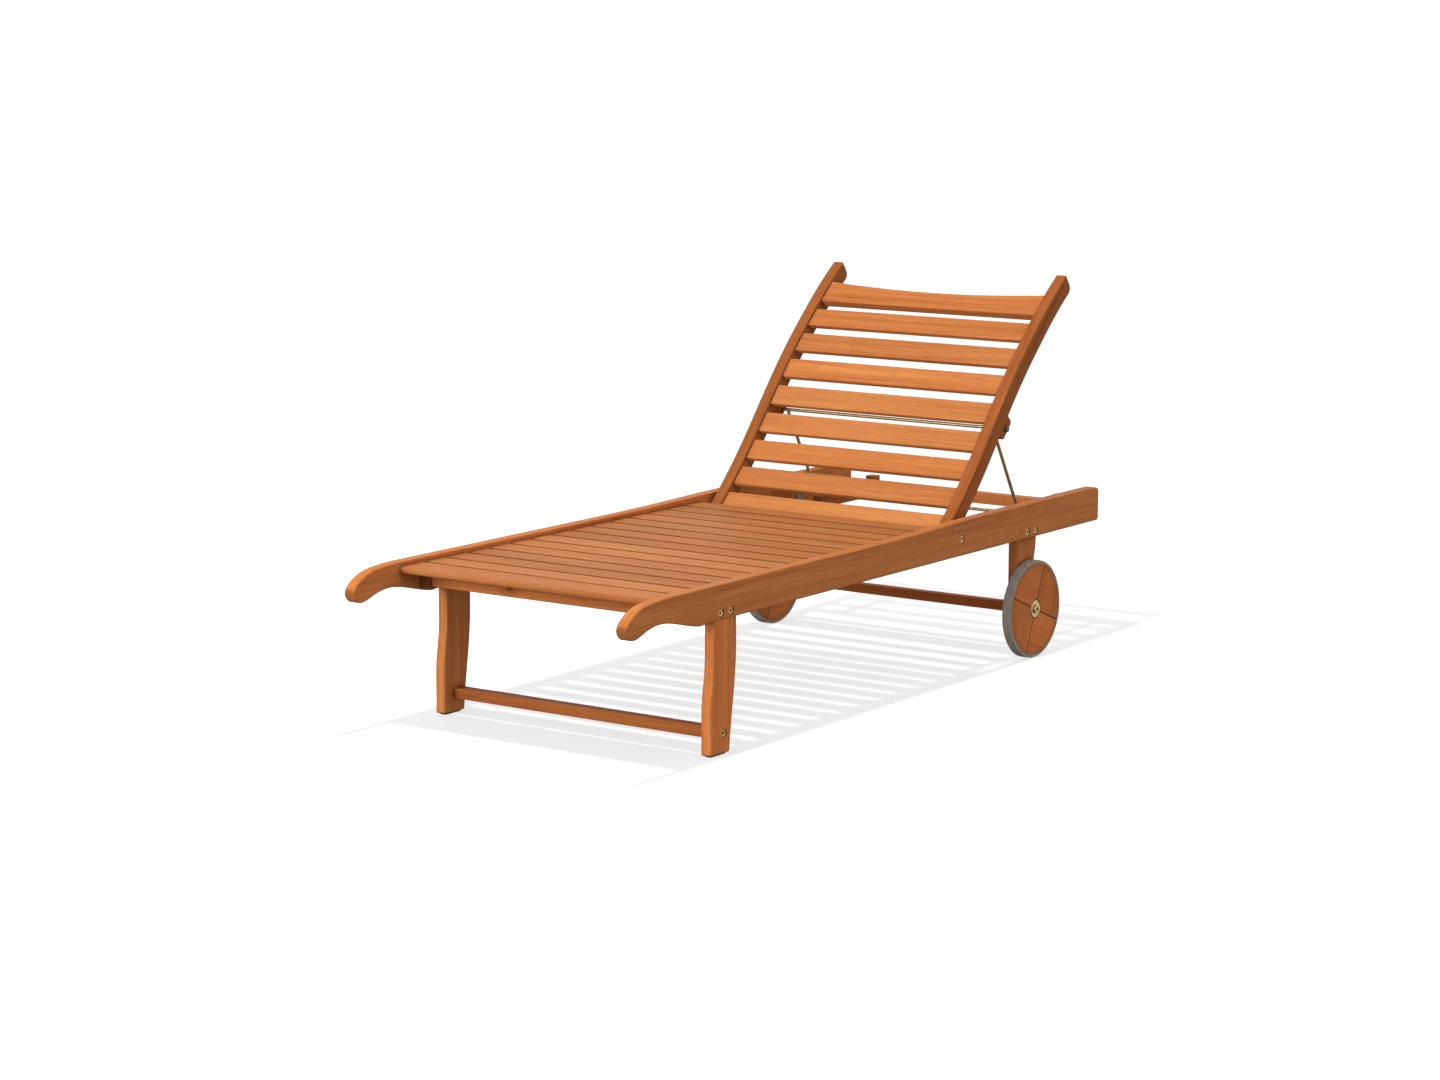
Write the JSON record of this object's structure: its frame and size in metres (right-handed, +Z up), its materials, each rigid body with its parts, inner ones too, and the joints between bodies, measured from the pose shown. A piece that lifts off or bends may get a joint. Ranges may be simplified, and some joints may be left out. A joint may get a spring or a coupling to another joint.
{
  "type": "reclining sun lounger",
  "caption": "Slatted hardwood sun lounger with scrolled side rails, a propped reclining back, front legs and rear wheels.",
  "frame": {"origin": "on the floor, under the middle of the frame's width and length", "axes": "+Z up, +Y from the foot end to the head end, +X to the left of a person lying on it"},
  "size_m": [0.7516, 1.854, 0.8591],
  "materials": {
    "frame_wood": "oiled hardwood, planed and eased",
    "slat_wood": "oiled hardwood, planed and eased",
    "wheel_wood": "oiled hardwood",
    "tyre": "matt grey rubber",
    "brass": "brass-plated, satin",
    "yellow_zinc": "yellow-passivated steel wire",
    "zinc_steel": "zinc-plated",
    "black_plastic": "matt black glide",
    "grey_plastic": "matt grey"
  },
  "bodies": {
    "frame": {"side_rail_left": "frame_wood", "side_rail_right": "frame_wood", "ledger_left": "frame_wood", "ledger_right": "frame_wood", "seat_slat_01": "slat_wood", "seat_slat_02": "slat_wood", "seat_slat_03": "slat_wood", "seat_slat_04": "slat_wood", "seat_slat_05": "slat_wood", "seat_slat_06": "slat_wood", "seat_slat_07": "slat_wood", "seat_slat_08": "slat_wood", "seat_slat_09": "slat_wood", "seat_slat_10": "slat_wood", "seat_slat_11": "slat_wood", "seat_slat_12": "slat_wood", "seat_slat_13": "slat_wood", "seat_slat_14": "slat_wood", "seat_slat_15": "slat_wood", "front_apron": "frame_wood", "front_leg_left": "frame_wood", "front_leg_right": "frame_wood", "front_stretcher": "frame_wood", "rear_leg_left": "frame_wood", "rear_leg_right": "frame_wood", "rear_stretcher": "frame_wood", "rear_cross_rail": "frame_wood", "prop_rack_left": "frame_wood", "prop_rack_right": "frame_wood", "rack_bracket_left": "zinc_steel", "rack_bracket_right": "zinc_steel", "leg_bolts": "brass", "pivot_bolts": "brass", "ledger_screws": "brass", "wheel_bolts": "brass", "pivot_spacers": "grey_plastic", "foot_pad_left": "black_plastic", "foot_pad_right": "black_plastic", "wheel_washers": "zinc_steel"},
    "backrest": {"stile_left": "frame_wood", "stile_right": "frame_wood", "back_slat_01": "slat_wood", "back_slat_02": "slat_wood", "back_slat_03": "slat_wood", "back_slat_04": "slat_wood", "back_slat_05": "slat_wood", "back_slat_06": "slat_wood", "back_slat_07": "slat_wood", "back_slat_08": "slat_wood", "back_slat_09": "slat_wood", "prop_block_left": "frame_wood", "prop_block_right": "frame_wood"},
    "prop": {"prop_rod": "yellow_zinc", "prop_caps": "grey_plastic"},
    "wheel_left": {"wheel_disc_left": "wheel_wood", "tyre_left": "tyre", "wheel_hub_left": "brass"},
    "wheel_right": {"wheel_disc_right": "wheel_wood", "tyre_right": "tyre", "wheel_hub_right": "brass"}
  },
  "joints": [
    {"name": "recline", "type": "hinge", "parent": "frame", "child": "backrest", "pos_m": [0, 0.3145, 0.315], "axis": [1, 0, 0], "range_deg": [-44.2, 5]},
    {"name": "prop_swing", "type": "hinge", "parent": "backrest", "child": "prop", "pos_m": [0, 0.56918, 0.52963], "axis": [1, 0, 0], "range_deg": [-15, 117]},
    {"name": "wheel_left_spin", "type": "hinge", "parent": "frame", "child": "wheel_left", "pos_m": [0.3597, 0.62, 0.1125], "axis": [1, 0, 0], "continuous": true},
    {"name": "wheel_right_spin", "type": "hinge", "parent": "frame", "child": "wheel_right", "pos_m": [-0.3597, 0.62, 0.1125], "axis": [1, 0, 0], "continuous": true}
  ],
  "couplings": [
    {"joint": "prop_swing", "follows": "recline", "ratio": -2.6}
  ]
}
